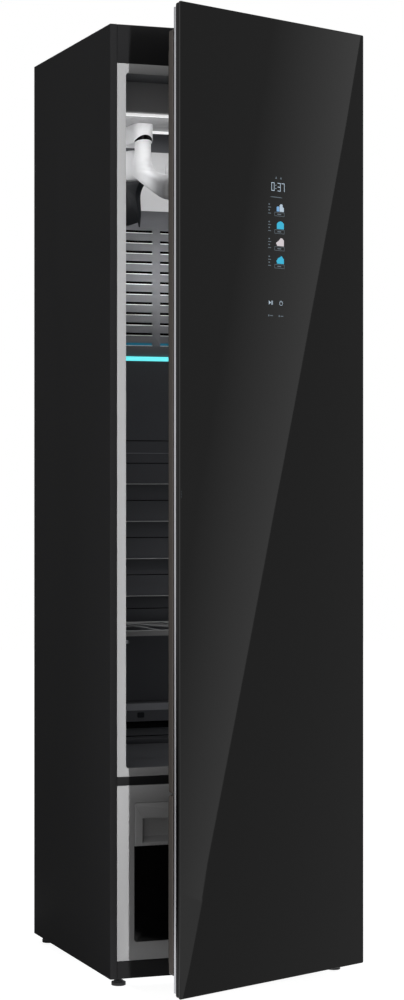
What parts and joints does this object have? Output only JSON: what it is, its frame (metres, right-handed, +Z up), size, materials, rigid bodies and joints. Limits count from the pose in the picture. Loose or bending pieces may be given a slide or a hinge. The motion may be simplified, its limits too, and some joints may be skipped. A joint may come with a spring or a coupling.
{
  "type": "clothes care steam cabinet",
  "caption": "Tall free-standing steam cabinet for refreshing clothes, with a glass door, air hangers, a shelf, water tanks and steam and air machinery.",
  "frame": {"origin": "middle of the base pan's underside, below the middle of the body; the feet reach 16 mm below it", "axes": "+X to the cabinet's right as seen from the front, +Y to its back, +Z up"},
  "size_m": [0.5121, 0.7639, 1.8501],
  "materials": {
    "casing": "satin black powder coat",
    "galvanised": "galvanised",
    "gloss_black": "gloss black",
    "frame_paint": "satin light grey",
    "dark_plastic": "satin dark grey",
    "liner_plastic": "satin grey",
    "foam": "expanded foam",
    "white_plastic": "satin white",
    "white_light": "lit diffuser",
    "cyan_light": "lit diffuser",
    "lit_panel": "satin light grey",
    "steel": "plain steel",
    "aluminium_fins": "bare",
    "circuit_board": "solder mask",
    "seal_rubber": "matt",
    "tank_black": "gloss smoked",
    "foot_plastic": "moulded black",
    "black_glass": "back-printed black, polished",
    "aluminium_profile": "satin anodised",
    "door_shell": "satin grey-brown"
  },
  "bodies": {
    "cabinet": {"left_side_panel": "casing", "right_side_panel": "casing", "top_cover": "casing", "back_panel": "galvanised", "base_pan": "galvanised", "header_panel": "gloss_black", "chamber_front_frame": "frame_paint", "cross_bar": "gloss_black", "lower_front_frame": "frame_paint", "base_trim": "gloss_black", "tank_tray": "dark_plastic", "chamber_liner": "liner_plastic", "insulation": "foam", "ceiling_air_housing": "dark_plastic", "front_light_bar": "white_light", "rear_light_bar": "white_light", "lit_back_panel": "lit_panel", "slotted_duct_cover": "dark_plastic", "accent_light_strip": "cyan_light", "lower_duct_cover": "dark_plastic", "filter_housing": "dark_plastic", "steam_generator": "steel", "compressor": "casing", "heat_exchanger": "aluminium_fins", "circulation_fan_casing": "dark_plastic", "jet_fan_casing": "dark_plastic", "control_board": "circuit_board", "mains_inlet": "seal_rubber", "top_hinge_bracket": "steel", "bottom_hinge_bracket": "steel", "drain_tank_front": "frame_paint", "drain_tank": "tank_black", "hanger_bracket_1": "white_plastic", "hanger_bracket_2": "white_plastic", "hanger_bracket_3": "white_plastic"},
    "door": {"door_glass": "black_glass", "door_carrier_frame": "gloss_black", "door_display_module": "circuit_board", "door_grip_profile": "aluminium_profile", "door_core": "foam", "door_liner_upper": "door_shell", "door_liner_lower": "door_shell", "door_gasket_upper": "seal_rubber", "door_gasket_lower": "seal_rubber"},
    "supply_tank_drawer": {"supply_tank_front": "frame_paint", "supply_tank": "tank_black"},
    "shelf": {"clothes_shelf": "liner_plastic"},
    "filter": {"lint_filter": "liner_plastic"},
    "hanger_1": {"air_hanger_1": "white_plastic", "hanger_nozzle_1": "dark_plastic"},
    "hanger_2": {"air_hanger_2": "white_plastic", "hanger_nozzle_2": "dark_plastic"},
    "hanger_3": {"air_hanger_3": "white_plastic", "hanger_nozzle_3": "dark_plastic"},
    "circulation_fan": {"circulation_fan_impeller": "white_plastic"},
    "jet_fan": {"jet_fan_impeller": "white_plastic"},
    "foot_front_left": {"levelling_foot_front_left": "foot_plastic"},
    "foot_front_right": {"levelling_foot_front_right": "foot_plastic"},
    "foot_rear_left": {"levelling_foot_rear_left": "foot_plastic"},
    "foot_rear_right": {"levelling_foot_rear_right": "foot_plastic"}
  },
  "joints": [
    {"name": "door_hinge", "type": "hinge", "parent": "cabinet", "child": "door", "pos_m": [0.2364, -0.2785, 0.9], "axis": [0, 0, 1], "range_deg": [-24.1, 70.9]},
    {"name": "supply_tank_slide", "type": "slide", "parent": "cabinet", "child": "supply_tank_drawer", "axis": [0, -1, 0], "range_m": [0, 0.095]},
    {"name": "shelf_slide", "type": "slide", "parent": "cabinet", "child": "shelf", "axis": [0, -1, 0], "range_m": [0, 0.108]},
    {"name": "lint_filter_lift", "type": "slide", "parent": "cabinet", "child": "filter", "axis": [0, 0, 1], "range_m": [0, 0.06]},
    {"name": "hanger_1_release", "type": "slide", "parent": "cabinet", "child": "hanger_1", "axis": [0, 0, -1], "range_m": [0, 0.02]},
    {"name": "hanger_2_release", "type": "slide", "parent": "cabinet", "child": "hanger_2", "axis": [0, 0, -1], "range_m": [0, 0.02]},
    {"name": "hanger_3_release", "type": "slide", "parent": "cabinet", "child": "hanger_3", "axis": [0, 0, -1], "range_m": [0, 0.02]},
    {"name": "circulation_fan_spin", "type": "hinge", "parent": "cabinet", "child": "circulation_fan", "pos_m": [-0.02, 0.182, 0.316], "axis": [0, 1, 0], "continuous": true},
    {"name": "jet_fan_spin", "type": "hinge", "parent": "cabinet", "child": "jet_fan", "pos_m": [0, -0.06, 1.79], "axis": [0, 0, 1], "continuous": true},
    {"name": "foot_front_left_turn", "type": "hinge", "parent": "cabinet", "child": "foot_front_left", "pos_m": [-0.225, -0.235, 0], "axis": [0, 0, 1], "range_deg": [-540, 540]},
    {"name": "foot_front_right_turn", "type": "hinge", "parent": "cabinet", "child": "foot_front_right", "pos_m": [0.225, -0.235, 0], "axis": [0, 0, 1], "range_deg": [-540, 540]},
    {"name": "foot_rear_left_turn", "type": "hinge", "parent": "cabinet", "child": "foot_rear_left", "pos_m": [-0.225, 0.235, 0], "axis": [0, 0, 1], "range_deg": [-540, 540]},
    {"name": "foot_rear_right_turn", "type": "hinge", "parent": "cabinet", "child": "foot_rear_right", "pos_m": [0.225, 0.235, 0], "axis": [0, 0, 1], "range_deg": [-540, 540]}
  ]
}
